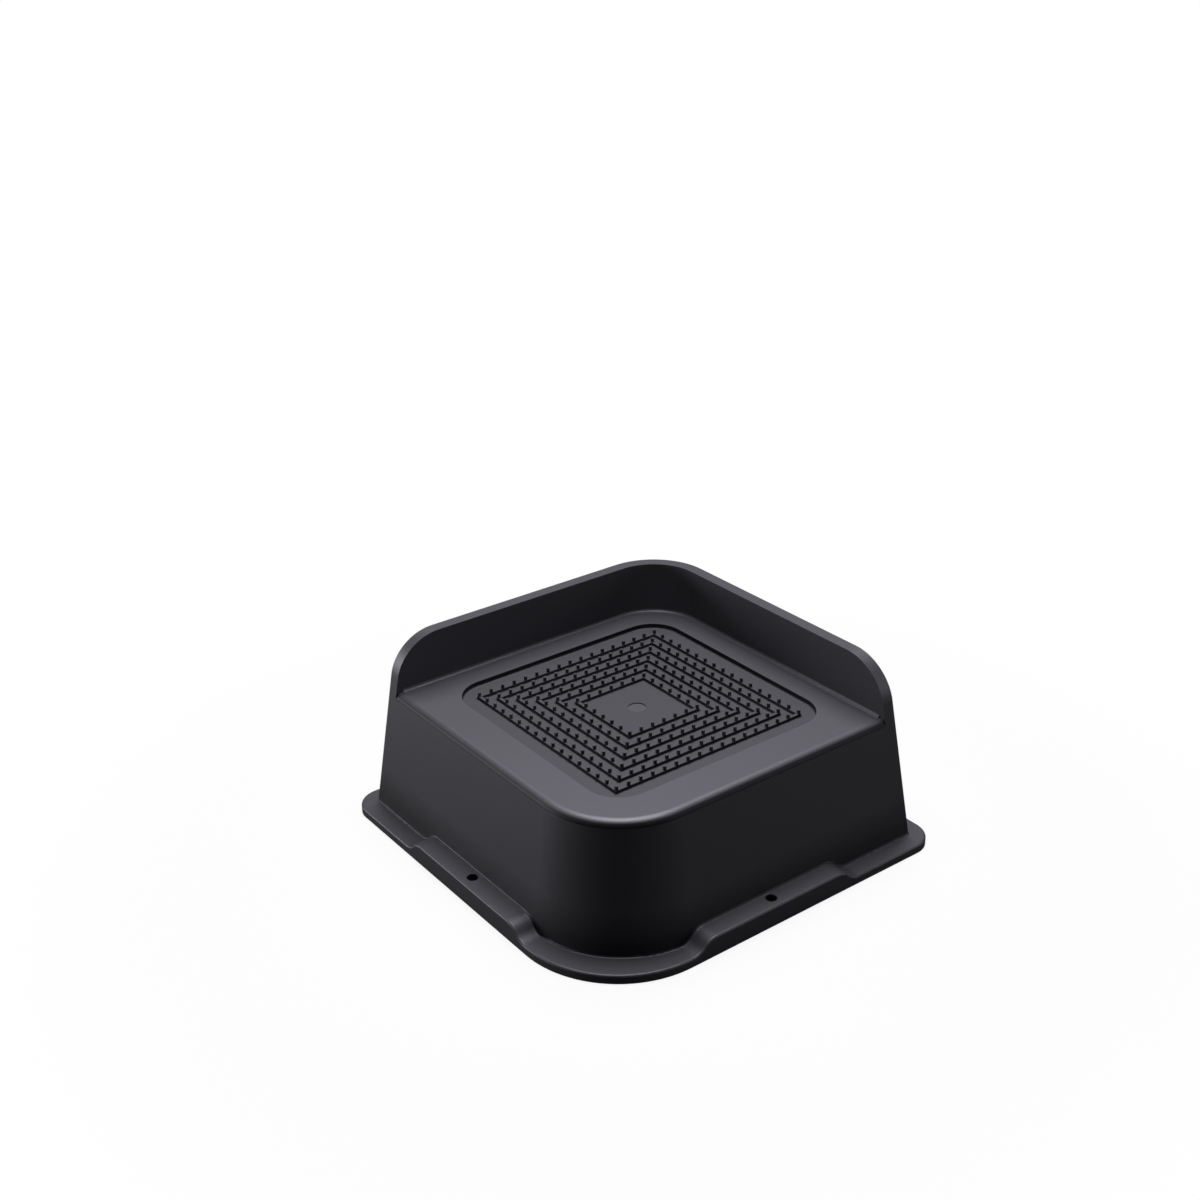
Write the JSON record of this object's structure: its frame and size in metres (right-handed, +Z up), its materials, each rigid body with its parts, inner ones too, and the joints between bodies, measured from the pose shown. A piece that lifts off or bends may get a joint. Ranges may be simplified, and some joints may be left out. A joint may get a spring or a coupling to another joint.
{
  "type": "bed riser",
  "caption": "Square hollow plastic riser with a drafted body, a screw flange and a ribbed tread seat between stop walls on adjoining sides, to lift a bed or furniture leg.",
  "frame": {"origin": "middle of the base, on the floor", "axes": "+Z up; the stop walls stand on the +X and +Y sides, and the -X and -Y sides of the seat are open"},
  "size_m": [0.152, 0.152, 0.072],
  "materials": {
    "black_plastic": "satin black moulded plastic"
  },
  "bodies": {
    "root": {"riser_body": "black_plastic"}
  },
  "joints": []
}
